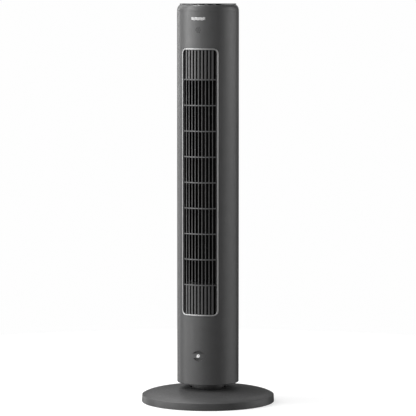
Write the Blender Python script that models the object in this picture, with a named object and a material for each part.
"""Tower fan: a slim round column that swings on a domed base.

Units are metres and +Z is up. The fan blows towards -Y. The origin is the centre of the base on
the floor. Angles round the column are measured from the front (-Y) towards +X, so the back is at
180 degrees.
"""

import math

import bmesh
import bpy
from mathutils import Matrix

GAP = 0.0003
SEGMENTS = 32
WALL = 0.0025

# Base
BASE_RADIUS = 0.17665
RIM_RADIUS = 0.1757
RIM_TOP = 0.0195
DOME_ROLL = 0.00765
DOME_RISE = 0.01695
COVER_BOTTOM = 0.0020
FOOT_RADIUS = 0.010
FOOT_HEIGHT = 0.0021
FOOT_CIRCLE = 0.152
FOOT_COUNT = 5
PLATE_LOW = FOOT_HEIGHT + GAP
PLATE_THICK = 0.0025
BASE_SCREW_CIRCLE = 0.135
BASE_SCREW_COUNT = 3
POST_RADIUS = 0.005
POST_BORE = 0.0021
NECK_RADIUS = 0.0465
NECK_TOP = 0.0523
WEB_LOW = 0.0315
WEB_HIGH = 0.0355
GLAND_HEIGHT = 0.0116

# Column
COLUMN_RADIUS = 0.082
COLUMN_BOTTOM = 0.055
SHELL_TOP = 1.0395
COLUMN_TOP = 1.060
SHELL_INNER = COLUMN_RADIUS - WALL
SEAM_ANGLE = math.radians(112)
SHOULDER_ROUND = 0.010
SHOULDER_RISE = 0.0173
SHOULDER_TOP = 1.0564
PANEL_RADIUS = 0.0747
SPINDLE_RADIUS = 0.013

# Swing drive
GEAR_MODULE = 0.0012
FIXED_TEETH = 30
PINION_TEETH = 10
GEAR_DISTANCE = GEAR_MODULE * (FIXED_TEETH + PINION_TEETH) / 2
GEAR_LOW = WEB_HIGH + GAP
GEAR_HIGH = 0.0440

# Air outlet
WINDOW_MIDDLE = 0.5909
RIB_PITCH = 0.0677
RIB_COUNT = 9
BAR = 0.0030
FIN_PITCH = math.radians(6.8)
FIN_HALF = math.radians(1.05)
FRONT_FINS = 9
REAR_FINS = 12
REAR_PITCH = math.radians(8.4)
FRAME_LOW, FRAME_HIGH = 0.2360, 0.9438
FRAME_BAR = 0.0056
FRAME_OUTER_ANGLE = math.radians(38.9)
FRAME_INNER_ANGLE = math.radians(33.7)
FRAME_CORNER = 0.0150
FRAME_PROUD = 0.0004
GRILLE_INNER, GRILLE_OUTER = 0.077, 0.0806

# Fan drive, on an axis a little behind the column's own
FAN_Y = 0.006
IMPELLER_RADIUS = 0.044
BLADE_INNER = 0.034
BLADE_COUNT = 16
BLADE_THICK = 0.0012
IMPELLER_LOW, IMPELLER_HIGH = 0.326, 0.856
DISC_THICK = 0.0025
SHAFT_RADIUS = 0.003
BEARING_BORE = 0.00315

# Controls on the top
KEY_RADIUS = 0.0070
KEY_CIRCLE = 0.050
KEY_STEP = math.radians(26)
KEY_NAMES = ("timer_key", "swing_key", "power_key", "speed_key", "mode_key")
LENS_RADIUS = 0.022

# Badge under the top edge
BADGE_HALF = 0.0205
BADGE_LOW, BADGE_HIGH = 1.0155, 1.0245

# Scent drawer at the foot of the column
SCENT_HEIGHT = 0.132
SCENT_HALF_WIDTH = 0.01975
SCENT_HALF_HEIGHT = 0.0145
SCENT_POWER = 1.6
SCENT_BAND = 0.00615
SCENT_BACK = -0.073

# Carry handle recess, and the screws behind
HANDLE_LOW, HANDLE_HIGH = 0.905, 0.960
HANDLE_HALF = 0.044
HANDLE_FLOOR = 0.042
SCREW_X = 0.041
SCREW_HEIGHTS = (0.100, 1.000)
LOOM_X, LOOM_Y = 0.056, 0.042

FINISHES = {}


def add_finish(name, colour, roughness, metallic=0.0):
    made = bpy.data.materials.new(name)
    made.use_nodes = True
    shader = made.node_tree.nodes["Principled BSDF"]
    shader.inputs["Base Color"].default_value = (*colour, 1.0)
    shader.inputs["Roughness"].default_value = roughness
    shader.inputs["Metallic"].default_value = metallic
    FINISHES[name] = made


def add_finishes():
    add_finish("shell", (0.055, 0.055, 0.058), 0.45)
    add_finish("base", (0.050, 0.050, 0.053), 0.45)
    add_finish("gloss_black", (0.006, 0.006, 0.007), 0.08)
    add_finish("lens", (0.010, 0.010, 0.012), 0.05)
    add_finish("silver", (0.62, 0.62, 0.62), 0.25, 1.0)
    add_finish("grille", (0.045, 0.045, 0.047), 0.45)
    add_finish("black_plastic", (0.015, 0.015, 0.015), 0.50)
    add_finish("white_plastic", (0.75, 0.75, 0.72), 0.40)
    add_finish("steel", (0.45, 0.45, 0.46), 0.35, 1.0)
    add_finish("zinc", (0.55, 0.56, 0.58), 0.35, 1.0)
    add_finish("copper", (0.55, 0.25, 0.12), 0.40, 1.0)
    add_finish("rubber", (0.02, 0.02, 0.02), 0.85)
    add_finish("board", (0.02, 0.16, 0.06), 0.40)
    add_finish("felt", (0.70, 0.70, 0.66), 0.95)
    add_finish("print", (0.80, 0.80, 0.80), 0.40)


# Shape helpers


def on_circle(radius, angle, height):
    return (radius * math.sin(angle), -radius * math.cos(angle), height)


def turned(profile, segments=SEGMENTS, start=0.0, sweep=math.tau):
    """A closed (radius, height) profile turned about +Z, with flat ends where it isn't a full turn."""
    bm = bmesh.new()
    whole = sweep > math.tau - 1e-6
    ring_count = segments if whole else segments + 1
    rings = []
    for step in range(ring_count):
        angle = start + sweep * step / segments
        rings.append([bm.verts.new(on_circle(radius, angle, height)) for radius, height in profile])
    points = len(profile)
    for step in range(segments):
        here = rings[step]
        after = rings[(step + 1) % ring_count]
        for i in range(points):
            j = (i + 1) % points
            bm.faces.new((here[i], here[j], after[j], after[i]))
    if not whole:
        bm.faces.new(rings[0])
        bm.faces.new(rings[-1])
    bmesh.ops.remove_doubles(bm, verts=bm.verts[:], dist=1e-6)
    return bm


def disc(radius, low, high, segments=SEGMENTS):
    return turned([(0, low), (radius, low), (radius, high), (0, high)], segments)


def tube(inner, outer, low, high, segments=SEGMENTS):
    return turned([(inner, low), (outer, low), (outer, high), (inner, high)], segments)


def prism(outline, low, high, along="Z"):
    """An outline carried from low to high. Along Z its points are (x, y), and along Y (x, z)."""
    bm = bmesh.new()
    rings = []
    for level in (low, high):
        if along == "Z":
            rings.append([bm.verts.new((a, b, level)) for a, b in outline])
        else:
            rings.append([bm.verts.new((a, level, b)) for a, b in outline])
    bm.faces.new(rings[0])
    bm.faces.new(rings[1])
    for i in range(len(outline)):
        j = (i + 1) % len(outline)
        bm.faces.new((rings[0][i], rings[0][j], rings[1][j], rings[1][i]))
    return bm


def box(low, high):
    outline = [(low[0], low[1]), (high[0], low[1]), (high[0], high[1]), (low[0], high[1])]
    return prism(outline, low[2], high[2])


def rounded_rectangle(left, right, low, high, corner, steps=4):
    """Corner arcs anticlockwise from the lower right, as (x, z) points."""
    centres = (
        (right - corner, low + corner, -90),
        (right - corner, high - corner, 0),
        (left + corner, high - corner, 90),
        (left + corner, low + corner, 180),
    )
    points = []
    for x, z, first in centres:
        for step in range(steps + 1):
            angle = math.radians(first + 90 * step / steps)
            points.append((x + corner * math.cos(angle), z + corner * math.sin(angle)))
    return points


def moved(bm, offset=(0, 0, 0), turn=None):
    if turn is not None:
        bmesh.ops.transform(bm, matrix=turn, verts=bm.verts[:])
    bmesh.ops.translate(bm, vec=offset, verts=bm.verts[:])
    return bm


def along_y(bm):
    """Turns a shape made about +Z so that its top faces the back, +Y."""
    return moved(bm, turn=Matrix.Rotation(math.radians(-90), 4, "X"))


def gathered(shapes):
    """Several closed shapes that stay clear of each other, in one mesh."""
    whole = bmesh.new()
    for shape in shapes:
        mesh = bpy.data.meshes.new("shape")
        shape.to_mesh(mesh)
        shape.free()
        whole.from_mesh(mesh)
        bpy.data.meshes.remove(mesh)
    return whole


def part(name, bm, finish, at=(0, 0, 0)):
    """The named object of a shape built about its own origin, placed where that origin belongs."""
    bmesh.ops.recalc_face_normals(bm, faces=bm.faces[:])
    mesh = bpy.data.meshes.new(name)
    bm.to_mesh(mesh)
    bm.free()
    mesh.materials.append(FINISHES[finish])
    mesh.shade_smooth()
    mesh.set_sharp_from_angle(angle=math.radians(35))
    made = bpy.data.objects.new(name, mesh)
    made.location = at
    bpy.context.scene.collection.objects.link(made)
    return made


def combine(target, bm, operation="DIFFERENCE"):
    """Cuts, joins or crosses a part with a shape that is given in the part's own coordinates."""
    name = f"{target.name}_{operation.lower()}_{len(target.modifiers)}"
    cutter = part(name, bm, "shell", target.location)
    cutter.hide_render = True
    cutter.display_type = "WIRE"
    modifier = target.modifiers.new(cutter.name, "BOOLEAN")
    modifier.object = cutter
    modifier.operation = operation
    modifier.solver = "EXACT"


def lattice(angles, heights, is_open, inner, outer):
    """A curved grid between two radii, on a table of angles and heights, without its open cells."""
    bm = bmesh.new()
    corners = {}

    def corner(column, row, radius):
        key = (column, row, radius)
        if key not in corners:
            corners[key] = bm.verts.new(on_circle(radius, angles[column], heights[row]))
        return corners[key]

    def is_solid(column, row):
        inside = 0 <= column < len(angles) - 1 and 0 <= row < len(heights) - 1
        return inside and not is_open(column, row)

    def wall(first, second):
        inside = [corner(*first, inner), corner(*second, inner)]
        bm.faces.new(inside + [corner(*second, outer), corner(*first, outer)])

    for column in range(len(angles) - 1):
        for row in range(len(heights) - 1):
            if not is_solid(column, row):
                continue
            square = ((column, row), (column + 1, row), (column + 1, row + 1), (column, row + 1))
            for radius in (inner, outer):
                bm.faces.new([corner(*point, radius) for point in square])
            around = ((column, row - 1), (column + 1, row), (column, row + 1), (column - 1, row))
            for i, beside in enumerate(around):
                if not is_solid(*beside):
                    wall(square[i], square[(i + 1) % 4])
    return bm


def fin_edges(count, pitch, border_from, border_to, middle=0.0):
    """Angles of a row of fins and its two border bars. Every second gap between them is open."""
    edges = [middle - border_to, middle - border_from]
    for i in range(count):
        centre = middle + (i - (count - 1) / 2) * pitch
        edges += [centre - FIN_HALF, centre + FIN_HALF]
    return edges + [middle + border_from, middle + border_to]


def rib_edges(count, low, high, border):
    """Heights of a stack of ribs and its two border bars."""
    edges = [low, low + border]
    for i in range(count):
        centre = WINDOW_MIDDLE + (i - (count - 1) / 2) * RIB_PITCH
        edges += [centre - BAR / 2, centre + BAR / 2]
    return edges + [high - border, high]


def is_cell(column, row):
    return column % 2 == 1 and row % 2 == 1


def involute(angle):
    return math.tan(angle) - angle


def gear_outline(teeth, phase, backlash=0.00045):
    """Involute teeth at a pressure angle of 20 degrees, the first centred on phase from +X."""
    pressure = math.radians(20)
    pitch = GEAR_MODULE * teeth / 2
    base = pitch * math.cos(pressure)
    tip = pitch + 0.9 * GEAR_MODULE
    root = pitch - 1.25 * GEAR_MODULE
    half = math.pi / (2 * teeth) - backlash / (2 * pitch)
    flank = []
    for radius in (base, tip):
        flank.append((radius, half + involute(pressure) - involute(math.acos(base / radius))))
    flank.insert(0, (root, flank[0][1]))
    points = []
    for tooth in range(teeth):
        centre = phase + math.tau * tooth / teeth
        for side, order in ((-1, flank), (1, flank[::-1])):
            for radius, offset in order:
                angle = centre + side * offset
                points.append((radius * math.cos(angle), radius * math.sin(angle)))
    return points


# Base


def dome_height(radius):
    share = radius / RIM_RADIUS
    return RIM_TOP + DOME_ROLL * (1 - share**12) + DOME_RISE * (1 - share)


def dome_radii(count, hole):
    """Radii from the rim to the hole, closest together near the rim."""
    return [RIM_RADIUS - (RIM_RADIUS - hole) * (i / (count - 1)) ** 2.2 for i in range(count)]


def base_circle(radius, count, offset=0.0):
    return [on_circle(radius, math.tau * (i + offset) / count, 0) for i in range(count)]


def build_base_cover():
    hole = NECK_RADIUS + 0.0005
    outer = [(radius, dome_height(radius)) for radius in dome_radii(8, hole)]
    shrink = 1 - WALL / RIM_RADIUS
    inner = [(max(radius * shrink, hole), dome_height(radius) - WALL) for radius in dome_radii(4, hole)]
    foot_edge = 0.0008
    foot = [
        (BASE_RADIUS - WALL, COVER_BOTTOM), (BASE_RADIUS - foot_edge, COVER_BOTTOM),
        (BASE_RADIUS, COVER_BOTTOM + foot_edge),
    ]
    cover = part("base_cover", turned(foot + outer + inner[::-1], 40), "base")
    posts = []
    for x, y, _ in base_circle(BASE_SCREW_CIRCLE, BASE_SCREW_COUNT, 0.5):
        posts.append(moved(disc(POST_RADIUS, 0.0055, 0.0285, 12), (x, y, 0)))
    combine(cover, gathered(posts), "UNION")
    bores = []
    for x, y, _ in base_circle(BASE_SCREW_CIRCLE, BASE_SCREW_COUNT, 0.5):
        bores.append(moved(disc(POST_BORE, 0.0, 0.0240, 12), (x, y, 0)))
    combine(cover, gathered(bores))
    combine(cover, moved(along_y(disc(0.0060, 0, 0.02, 16)), (0, 0.165, GLAND_HEIGHT)))


def build_base_plate():
    radius = BASE_RADIUS - WALL - 0.0015
    plate = part("base_plate", disc(radius, PLATE_LOW, PLATE_LOW + PLATE_THICK), "black_plastic")
    holes = []
    for x, y, _ in base_circle(BASE_SCREW_CIRCLE, BASE_SCREW_COUNT, 0.5):
        holes.append(moved(disc(0.0024, 0.0, 0.02, 12), (x, y, 0)))
    combine(plate, gathered(holes))


def build_base_hardware():
    part("counterweight", tube(0.062, 0.118, 0.0054, 0.0130), "steel")
    for i, (x, y, _) in enumerate(base_circle(FOOT_CIRCLE, FOOT_COUNT)):
        part(f"foot_{i + 1}", disc(FOOT_RADIUS, 0, FOOT_HEIGHT, 16), "rubber", (x, y, 0))
    head, shank = 0.0040, 0.0018
    head_low, head_high, shank_top = 0.0008, 0.0021, 0.0225
    screw = [
        (0, head_low), (head, head_low), (head, head_high), (shank, head_high), (shank, shank_top),
        (0, shank_top),
    ]
    for i, (x, y, _) in enumerate(base_circle(BASE_SCREW_CIRCLE, BASE_SCREW_COUNT, 0.5)):
        part(f"base_screw_{i + 1}", turned(screw, 12), "zinc", (x, y, 0))
    skirt_in, skirt_out = 0.050, 0.056
    skirt_low, flange_high, wall_in = 0.0052, 0.0345, 0.042
    collar = [
        (SPINDLE_RADIUS + 2 * GAP, WEB_LOW), (skirt_in, WEB_LOW), (skirt_in, skirt_low),
        (skirt_out, skirt_low), (skirt_out, flange_high), (NECK_RADIUS, flange_high),
        (NECK_RADIUS, NECK_TOP), (wall_in, NECK_TOP), (wall_in, WEB_HIGH),
        (SPINDLE_RADIUS + 2 * GAP, WEB_HIGH),
    ]
    part("neck_collar", turned(collar), "base")
    ring = tube(0.040, NECK_RADIUS - 0.0004, NECK_TOP + GAP, COLUMN_BOTTOM - GAP)
    part("slide_ring", ring, "black_plastic")
    bore, body, lip, lip_thick, length = 0.0034, 0.0056, 0.0064, 0.0050, 0.0108
    gland = [
        (bore, 0), (lip, 0), (lip, lip_thick), (body, lip_thick), (body, length), (bore, length),
    ]
    part("cord_gland", along_y(turned(gland, 16)), "rubber", (0, 0.1655, GLAND_HEIGHT))


def build_swing_gears():
    teeth = prism(gear_outline(FIXED_TEETH, math.pi), GEAR_LOW, GEAR_HIGH)
    fixed = part("fixed_gear", teeth, "white_plastic")
    combine(fixed, disc(SPINDLE_RADIUS + 0.0008, 0.03, 0.05, 24))
    half_tooth = math.pi / PINION_TEETH
    teeth = prism(gear_outline(PINION_TEETH, half_tooth), GEAR_LOW + GAP, GEAR_HIGH - GAP)
    pinion = part("swing_pinion", teeth, "white_plastic", (-GEAR_DISTANCE, 0, 0))
    combine(pinion, disc(0.0025, GEAR_HIGH - 0.002, 0.0617, 16), "UNION")


# Column


def shell_half(name, start, sweep, segments):
    profile = [
        (SHELL_INNER, COLUMN_BOTTOM), (COLUMN_RADIUS, COLUMN_BOTTOM),
        (COLUMN_RADIUS, SHELL_TOP), (SHELL_INNER, SHELL_TOP),
    ]
    return part(name, turned(profile, segments, start, sweep), "shell")


def build_front_shell():
    shell = shell_half("front_shell", -SEAM_ANGLE, 2 * SEAM_ANGLE, 30)
    half = (COLUMN_RADIUS + FRAME_PROUD) * math.sin(FRAME_OUTER_ANGLE) + GAP
    corner = FRAME_CORNER - 0.0025
    window = rounded_rectangle(-half, half, FRAME_LOW - GAP, FRAME_HIGH + GAP, corner)
    scent = scent_outline(GAP)
    holes = []
    for x, z in sensor_holes():
        holes.append(moved(along_y(disc(0.0011, 0, 0.03, 6)), (x, -0.095, z)))
    front, back = -0.095, -0.045
    holes += [prism(window, front, back, "Y"), prism(scent, front, -0.065, "Y")]
    combine(shell, gathered(holes))
    posts = []
    for z in SCREW_HEIGHTS:
        for side in (-1, 1):
            post = tube(0.0020, 0.0050, -0.0695, 0.0645, 12)
            posts.append(moved(along_y(post), (side * SCREW_X, 0, z)))
    combine(shell, gathered(posts), "UNION")


def build_rear_shell():
    seam = SEAM_ANGLE + 2 * GAP / COLUMN_RADIUS
    shell = shell_half("rear_shell", seam, math.tau - 2 * seam, 18)
    half = COLUMN_RADIUS * math.sin(rear_border()[1]) + 0.0004
    low, high = rear_heights()
    window = [(-half, low - GAP), (half, low - GAP), (half, high + GAP), (-half, high + GAP)]
    recess = rounded_rectangle(-HANDLE_HALF, HANDLE_HALF, HANDLE_LOW, HANDLE_HIGH, 0.012, 3)
    holes = []
    for z in SCREW_HEIGHTS:
        for side in (-1, 1):
            holes.append(moved(along_y(disc(0.0043, 0.055, 0.095, 12)), (side * SCREW_X, 0, z)))
    near, far = 0.030, 0.095
    combine(shell, gathered([prism(window, near, far, "Y"), prism(recess, near, far, "Y")] + holes))


def sensor_holes():
    """Seven holes in rows of two, three and two, as (x, z)."""
    pitch, middle = 0.0056, 0.9906
    points = []
    for row, count in ((1, 2), (0, 3), (-1, 2)):
        for i in range(count):
            x = (i - (count - 1) / 2) * pitch
            points.append((x, middle + row * pitch * math.sin(math.radians(60))))
    return points


def build_column_ends():
    floor = tube(SPINDLE_RADIUS + GAP, SHELL_INNER - 2 * GAP, COLUMN_BOTTOM, 0.0582)
    plate = part("bottom_plate", floor, "shell")
    combine(plate, moved(disc(0.0032, 0.05, 0.07, 12), (-GEAR_DISTANCE, 0, 0)))
    spindle = [
        (0.009, 0.027), (SPINDLE_RADIUS, 0.027), (SPINDLE_RADIUS, 0.0585),
        (0.019, 0.0585), (0.019, 0.0613), (0.009, 0.0613),
    ]
    part("spindle", turned(spindle, 24), "steel")
    part("retaining_ring", tube(SPINDLE_RADIUS + GAP, 0.019, 0.028, WEB_LOW - GAP, 24), "zinc")
    shoulder = []
    centre = COLUMN_RADIUS - SHOULDER_ROUND
    for i in range(5):
        height = SHELL_TOP + GAP + (SHOULDER_TOP - SHELL_TOP - GAP) * (1 - (1 - i / 4) ** 1.6)
        rise = (height - SHELL_TOP) / SHOULDER_RISE
        shoulder.append((centre + SHOULDER_ROUND * math.sqrt(1 - rise**2), height))
    inside = [
        (0.062, SHOULDER_TOP), (0.062, 1.0539), (0.0724, 1.0539), (0.0766, 1.042), (0.0766, 1.034),
        (0.0789, 1.034), (0.0789, SHELL_TOP + GAP),
    ]
    part("top_housing", turned(shoulder + inside), "shell")


def frame_outline(half_angle, low, high, corner):
    """A rounded window as (angle, height), its level edges in short steps that follow the curve."""
    half = COLUMN_RADIUS * half_angle
    points = []
    for x, z in rounded_rectangle(-half, half, low, high, corner):
        points.append((x / COLUMN_RADIUS, z))
    steps = 10
    per_corner = len(points) // 4
    level = []
    for first in (points[-1], points[2 * per_corner - 1]):
        last = (-first[0], first[1])
        level.append([(first[0] + (last[0] - first[0]) * i / steps, first[1]) for i in range(1, steps)])
    return level[0] + points[: 2 * per_corner] + level[1] + points[2 * per_corner :]


def build_trim_frame():
    outer = frame_outline(FRAME_OUTER_ANGLE, FRAME_LOW, FRAME_HIGH, FRAME_CORNER)
    inner = frame_outline(
        FRAME_INNER_ANGLE, FRAME_LOW + FRAME_BAR, FRAME_HIGH - FRAME_BAR, FRAME_CORNER - FRAME_BAR
    )
    low, high = GRILLE_OUTER + 2 * GAP, COLUMN_RADIUS + FRAME_PROUD
    bm = bmesh.new()
    loops = []
    for outline, radius in ((outer, low), (outer, high), (inner, high), (inner, low)):
        loops.append([bm.verts.new(on_circle(radius, angle, height)) for angle, height in outline])
    for i in range(4):
        here, after = loops[i], loops[(i + 1) % 4]
        for j in range(len(outer)):
            k = (j + 1) % len(outer)
            bm.faces.new((here[j], here[k], after[k], after[j]))
    part("trim_frame", bm, "silver")


def rear_border():
    """The half angles of the inlet grille's side bars, inner and outer."""
    inner = (REAR_FINS + 1) / 2 * REAR_PITCH - FIN_HALF
    return inner, inner + math.radians(1.3)


def rear_heights():
    reach = (RIB_COUNT - 1) / 2 * RIB_PITCH + 0.003
    return WINDOW_MIDDLE - reach, WINDOW_MIDDLE + reach


def build_grilles():
    front = fin_edges(FRONT_FINS, FIN_PITCH, math.radians(32.6), math.radians(33.4))
    low, high = FRAME_LOW + FRAME_BAR + 0.0004, FRAME_HIGH - FRAME_BAR - 0.0004
    ribs = rib_edges(RIB_COUNT, low, high, 0.0015)
    part("outlet_grille", lattice(front, ribs, is_cell, GRILLE_INNER, GRILLE_OUTER), "grille")
    back = fin_edges(REAR_FINS, REAR_PITCH, *rear_border(), math.pi)
    low, high = rear_heights()
    ribs = rib_edges(RIB_COUNT - 2, low, high, 0.0045)
    part("inlet_grille", lattice(back, ribs, is_cell, 0.0775, 0.0817), "grille")


def build_duct():
    """The closed ends behind the outlet grille, the scroll wall and the tongue."""
    shelf_in, back_in, back_out = 0.030, 0.0705, 0.0725
    rib_high = WINDOW_MIDDLE + (RIB_COUNT - 1) / 2 * RIB_PITCH
    rib_low = WINDOW_MIDDLE - (RIB_COUNT - 1) / 2 * RIB_PITCH
    reach = math.radians(33.4)
    bar = FRAME_BAR + GAP
    ends = (("upper_duct_end", rib_high, FRAME_HIGH - bar), ("lower_duct_end", rib_low, FRAME_LOW + bar))
    for name, shelf, far in ends:
        step = math.copysign(0.0022, far - shelf)
        profile = [
            (shelf_in, shelf), (back_out, shelf), (back_out, far), (back_in, far),
            (back_in, shelf + step), (shelf_in, shelf + step),
        ]
        part(name, turned(profile, 8, -reach, 2 * reach), "grille")
    near, open_end = 0.047, 0.0765
    first, last = math.radians(20), math.radians(147)
    sheet = []
    for i in range(13):
        share = i / 12
        angle = first + (last - first) * share
        radius = near + (open_end - near) * share**1.5
        sheet.append((angle, radius))
    outline = []
    thick = 0.002
    for inset, points in ((0, sheet), (thick, sheet[::-1])):
        for angle, radius in points:
            x = -(radius - inset) * math.sin(angle)
            outline.append((x, FAN_Y + (radius - inset) * math.cos(angle)))
    duct_low, duct_high = rib_low + GAP, rib_high - GAP
    part("scroll_wall", prism(outline, duct_low, duct_high), "black_plastic")
    tongue = [
        (0.0403, -0.0580), (0.0350, -0.0335), (0.0395, -0.0300), (0.0600, -0.0330),
        (0.0600, -0.0350), (0.0400, -0.0322), (0.0375, -0.0345), (0.0425, -0.0575),
    ]
    part("tongue", prism(tongue, duct_low, duct_high), "black_plastic")


def blade_outline(index):
    """A forward-curved blade as a bent strip between the two radii of the blade ring."""
    start = math.tau * index / BLADE_COUNT
    middle, tip = (BLADE_INNER + IMPELLER_RADIUS) / 2, IMPELLER_RADIUS - 0.0006
    lean = ((BLADE_INNER, 0.0), (middle, 3.0), (tip, 11.0))
    sides = ([], [])
    for radius, degrees in lean:
        angle = start + math.radians(degrees)
        for side, points in zip((-1, 1), sides):
            beside = angle + side * BLADE_THICK / (2 * radius)
            points.append((radius * math.cos(beside), radius * math.sin(beside)))
    return sides[0] + sides[1][::-1]


def build_impeller():
    centre = (0, FAN_Y, 0)
    length = IMPELLER_HIGH - IMPELLER_LOW
    bore = SHAFT_RADIUS + GAP
    discs = []
    for i in range(3):
        low = IMPELLER_LOW + (length - DISC_THICK) * i / 2
        inner = BLADE_INNER - 0.004 if i == 1 else bore
        discs.append(tube(inner, IMPELLER_RADIUS, low, low + DISC_THICK, 32))
    impeller = part("impeller", gathered(discs), "black_plastic", centre)
    bite = DISC_THICK / 2
    low, high = IMPELLER_LOW + bite, IMPELLER_HIGH - bite
    blades = [prism(blade_outline(i), low, high) for i in range(BLADE_COUNT)]
    combine(impeller, gathered(blades), "UNION")
    part("impeller_shaft", disc(SHAFT_RADIUS, 0.166, 0.876, 16), "steel", centre)
    part("rotor", tube(bore, 0.0205, 0.180, 0.226, 24), "steel", centre)


def build_motor():
    centre = (0, FAN_Y, 0)
    can = [
        (0.034, 0.172), (0.034, 0.2356), (0.009, 0.2356), (0.009, 0.2336), (0.032, 0.2336),
        (0.032, 0.172),
    ]
    part("motor_can", turned(can, 24), "zinc", centre)
    end = [
        (BEARING_BORE, 0.168), (0.008, 0.168), (0.008, 0.1723), (0.0315, 0.1723),
        (0.0315, 0.1746), (BEARING_BORE, 0.1746),
    ]
    part("motor_end_cap", turned(end, 16), "zinc", centre)
    part("stator", tube(0.0215, 0.0313, 0.178, 0.228, 24), "copper", centre)
    bracket = part("motor_bracket", disc(0.076, 0.2359, 0.2390), "black_plastic")
    openings = [(0, FAN_Y, 0.009), (LOOM_X, LOOM_Y, 0.0035)]
    combine(bracket, gathered([moved(disc(r, 0.23, 0.245, 16), (x, y, 0)) for x, y, r in openings]))
    outline = []
    first, last = math.radians(50), math.radians(310)
    for i in range(25):
        x, y, _ = on_circle(0.076, first + (last - first) * i / 24, 0)
        outline.append((x, y))
    bracket = part("bearing_bracket", prism(outline, 0.868, 0.871), "black_plastic")
    openings = [(0, FAN_Y, 0.008), (LOOM_X, LOOM_Y, 0.0035)]
    combine(bracket, gathered([moved(disc(r, 0.86, 0.88, 16), (x, y, 0)) for x, y, r in openings]))
    part("upper_bearing", tube(BEARING_BORE, 0.0076, 0.866, 0.873, 16), "steel", centre)


def build_electrics():
    part("swing_motor", disc(0.023, 0.062, 0.084, 24), "zinc", (-0.038, 0, 0))
    power = part("power_board", box((-0.030, 0.044, 0.068), (0.030, 0.0456, 0.150)), "board")
    transformer = box((-0.024, 0.036, 0.076), (-0.004, 0.0445, 0.098))
    capacitor = box((0.004, 0.032, 0.110), (0.016, 0.0445, 0.135))
    combine(power, gathered([transformer, capacitor]), "UNION")
    control = part("control_board", disc(0.060, 1.0440, 1.0456, 24), "board")
    switches = []
    for x, y in key_places():
        half = 0.003
        switches.append(box((x - half, y - half, 1.0450), (x + half, y + half, 1.0534)))
    combine(control, gathered(switches), "UNION")
    receiver = rounded_rectangle(-0.006, 0.006, 0.9856, 0.9956, 0.003, 3)
    part("sensor_block", prism(receiver, -0.0775, -0.0700, "Y"), "black_plastic")
    curve = bpy.data.curves.new("wiring_loom", "CURVE")
    curve.dimensions = "3D"
    curve.bevel_depth = 0.002
    curve.bevel_resolution = 2
    curve.use_fill_caps = True
    route = [
        (0.020, 0.048, 0.152), (0.034, 0.048, 0.178), (0.050, 0.044, 0.205),
        (LOOM_X, LOOM_Y, 0.232), (LOOM_X, LOOM_Y, 0.420), (LOOM_X, LOOM_Y, 0.650),
        (LOOM_X, LOOM_Y, 0.890), (LOOM_X, LOOM_Y, 0.990),
        (0.052, 0.037, 1.014), (0.043, 0.027, 1.030), (0.038, 0.021, 1.0410),
    ]
    spline = curve.splines.new("POLY")
    spline.points.add(len(route) - 1)
    for point, place in zip(spline.points, route):
        point.co = (*place, 1)
    curve.materials.append(FINISHES["rubber"])
    loom = bpy.data.objects.new("wiring_loom", curve)
    bpy.context.scene.collection.objects.link(loom)


def key_places():
    """The keys' centres on an arc along the front of the panel."""
    places = []
    for i in range(len(KEY_NAMES)):
        angle = (i - (len(KEY_NAMES) - 1) / 2) * KEY_STEP
        x, y, _ = on_circle(KEY_CIRCLE, angle, 0)
        places.append((x, y))
    return places


def build_controls():
    panel = part("control_panel", disc(PANEL_RADIUS, SHOULDER_TOP + GAP, COLUMN_TOP), "gloss_black")
    holes = [disc(LENS_RADIUS + GAP, 1.05, 1.07, 24)]
    for x, y in key_places():
        holes.append(moved(disc(KEY_RADIUS + GAP, 1.05, 1.07, 16), (x, y, 0)))
    combine(panel, gathered(holes))
    part("display_lens", disc(LENS_RADIUS, SHOULDER_TOP + GAP, COLUMN_TOP - 0.0002, 24), "lens")
    top = COLUMN_TOP - 0.0001
    flange_low, flange_high = -0.0051, -0.0035
    flange = 0.0084
    key = [
        (0, flange_low), (flange, flange_low), (flange, flange_high), (KEY_RADIUS, flange_high),
        (KEY_RADIUS, 0), (0, 0),
    ]
    for name, (x, y) in zip(KEY_NAMES, key_places()):
        part(name, turned(key, 16), "gloss_black", (x, y, top))
    back, face = COLUMN_RADIUS + GAP, COLUMN_RADIUS + 0.0008
    skin = turned([(back, 1.01), (face, 1.01), (face, 1.03), (back, 1.03)], 16, -0.5, 1.0)
    outline = rounded_rectangle(-BADGE_HALF, BADGE_HALF, BADGE_LOW, BADGE_HIGH, 0.0044)
    badge = part("badge", prism(outline, -0.09, -0.07, "Y"), "print")
    combine(badge, skin, "INTERSECT")


# Scent drawer


def scent_outline(grow, steps=28):
    """A rounded diamond about the drawer's middle, as (x, z)."""
    width, height = SCENT_HALF_WIDTH + grow, SCENT_HALF_HEIGHT + grow
    points = []
    for i in range(steps):
        angle = math.tau * i / steps
        c, s = math.cos(angle), math.sin(angle)
        x = width * math.copysign(abs(c) ** (2 / SCENT_POWER), c)
        z = height * math.copysign(abs(s) ** (2 / SCENT_POWER), s)
        points.append((x, SCENT_HEIGHT + z))
    return points


def scoop_outline(side):
    """The half of the inset outline beyond the grip band, above (1) or below (-1) it."""
    inset = 0.0016
    width, height = SCENT_HALF_WIDTH - inset, SCENT_HALF_HEIGHT - inset
    reach = width * (1 - (SCENT_BAND / height) ** SCENT_POWER) ** (1 / SCENT_POWER)
    points = []
    for i in range(11):
        x = reach * math.cos(math.pi * i / 10)
        z = height * (1 - abs(x / width) ** SCENT_POWER) ** (1 / SCENT_POWER)
        points.append((x, SCENT_HEIGHT + side * z))
    return points


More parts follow.
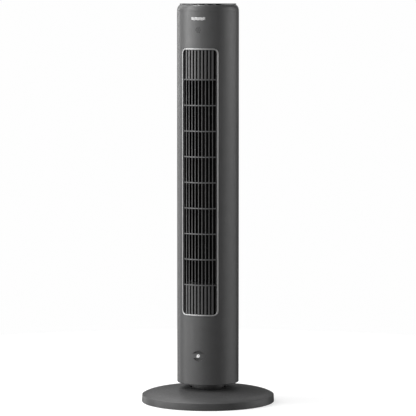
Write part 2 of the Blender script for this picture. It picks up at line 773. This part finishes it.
def build_scent_drawer():
    face = -COLUMN_RADIUS
    cap = part("scent_cap", prism(scent_outline(0), face - 0.003, SCENT_BACK, "Y"), "shell")
    combine(cap, disc(COLUMN_RADIUS, 0.10, 0.17, 96), "INTERSECT")
    scoop_floor = -0.0752
    scoops = [prism(scoop_outline(side), face - 0.01, scoop_floor, "Y") for side in (-1, 1)]
    combine(cap, gathered(scoops))
    half, low, high = 0.011, SCENT_HEIGHT - 0.007, SCENT_HEIGHT + 0.007
    front, back = SCENT_BACK + GAP, -0.042
    tray = part("scent_tray", box((-half, front, low), (half, back, high)), "white_plastic")
    wall = 0.0015
    hollow = box((-half + wall, front + wall, low + wall), (half - wall, back - wall, high + 0.01))
    combine(tray, hollow)
    rim = wall + 0.0005
    pad_low = low + wall + GAP
    pad = box((-half + rim, front + rim, pad_low), (half - rim, back - rim, pad_low + 0.003))
    part("scent_pad", pad, "felt")
    outer, inner = 0.0135, 0.0115
    low, high = SCENT_HEIGHT - 0.0095, SCENT_HEIGHT + 0.0095
    sleeve = box((-outer, SCENT_BACK + 0.001, low), (outer, -0.038, high))
    housing = part("scent_housing", sleeve, "black_plastic")
    pocket = box((-inner, -0.09, SCENT_HEIGHT - 0.0075), (inner, -0.040, SCENT_HEIGHT + 0.0075))
    combine(housing, pocket)


# Back


def build_handle():
    edge = HANDLE_HALF - GAP
    outline = rounded_rectangle(-edge, edge, HANDLE_LOW + GAP, HANDLE_HIGH - GAP, 0.0117, 3)
    cup = part("handle_cup", prism(outline, HANDLE_FLOOR, 0.09, "Y"), "black_plastic")
    combine(cup, disc(COLUMN_RADIUS - GAP, 0.89, 0.98), "INTERSECT")
    wall = 0.0022
    inside = rounded_rectangle(
        -edge + wall, edge - wall, HANDLE_LOW + GAP + wall, HANDLE_HIGH - GAP - wall, 0.0095, 3
    )
    combine(cup, prism(inside, HANDLE_FLOOR + wall, 0.10, "Y"))


def build_shell_screws():
    screw = [(0, 0), (0.0016, 0), (0.0016, 0.0168), (0.0036, 0.0168), (0.0036, 0.0196), (0, 0.0196)]
    places = [(side * SCREW_X, z) for z in SCREW_HEIGHTS for side in (-1, 1)]
    for i, (x, z) in enumerate(places):
        part(f"shell_screw_{i + 1}", along_y(turned(screw, 12)), "zinc", (x, 0.048, z))


def main():
    for old in list(bpy.data.objects):
        bpy.data.objects.remove(old, do_unlink=True)
    add_finishes()
    build_base_cover()
    build_base_plate()
    build_base_hardware()
    build_swing_gears()
    build_front_shell()
    build_rear_shell()
    build_column_ends()
    build_trim_frame()
    build_grilles()
    build_duct()
    build_impeller()
    build_motor()
    build_electrics()
    build_controls()
    build_scent_drawer()
    build_handle()
    build_shell_screws()


main()
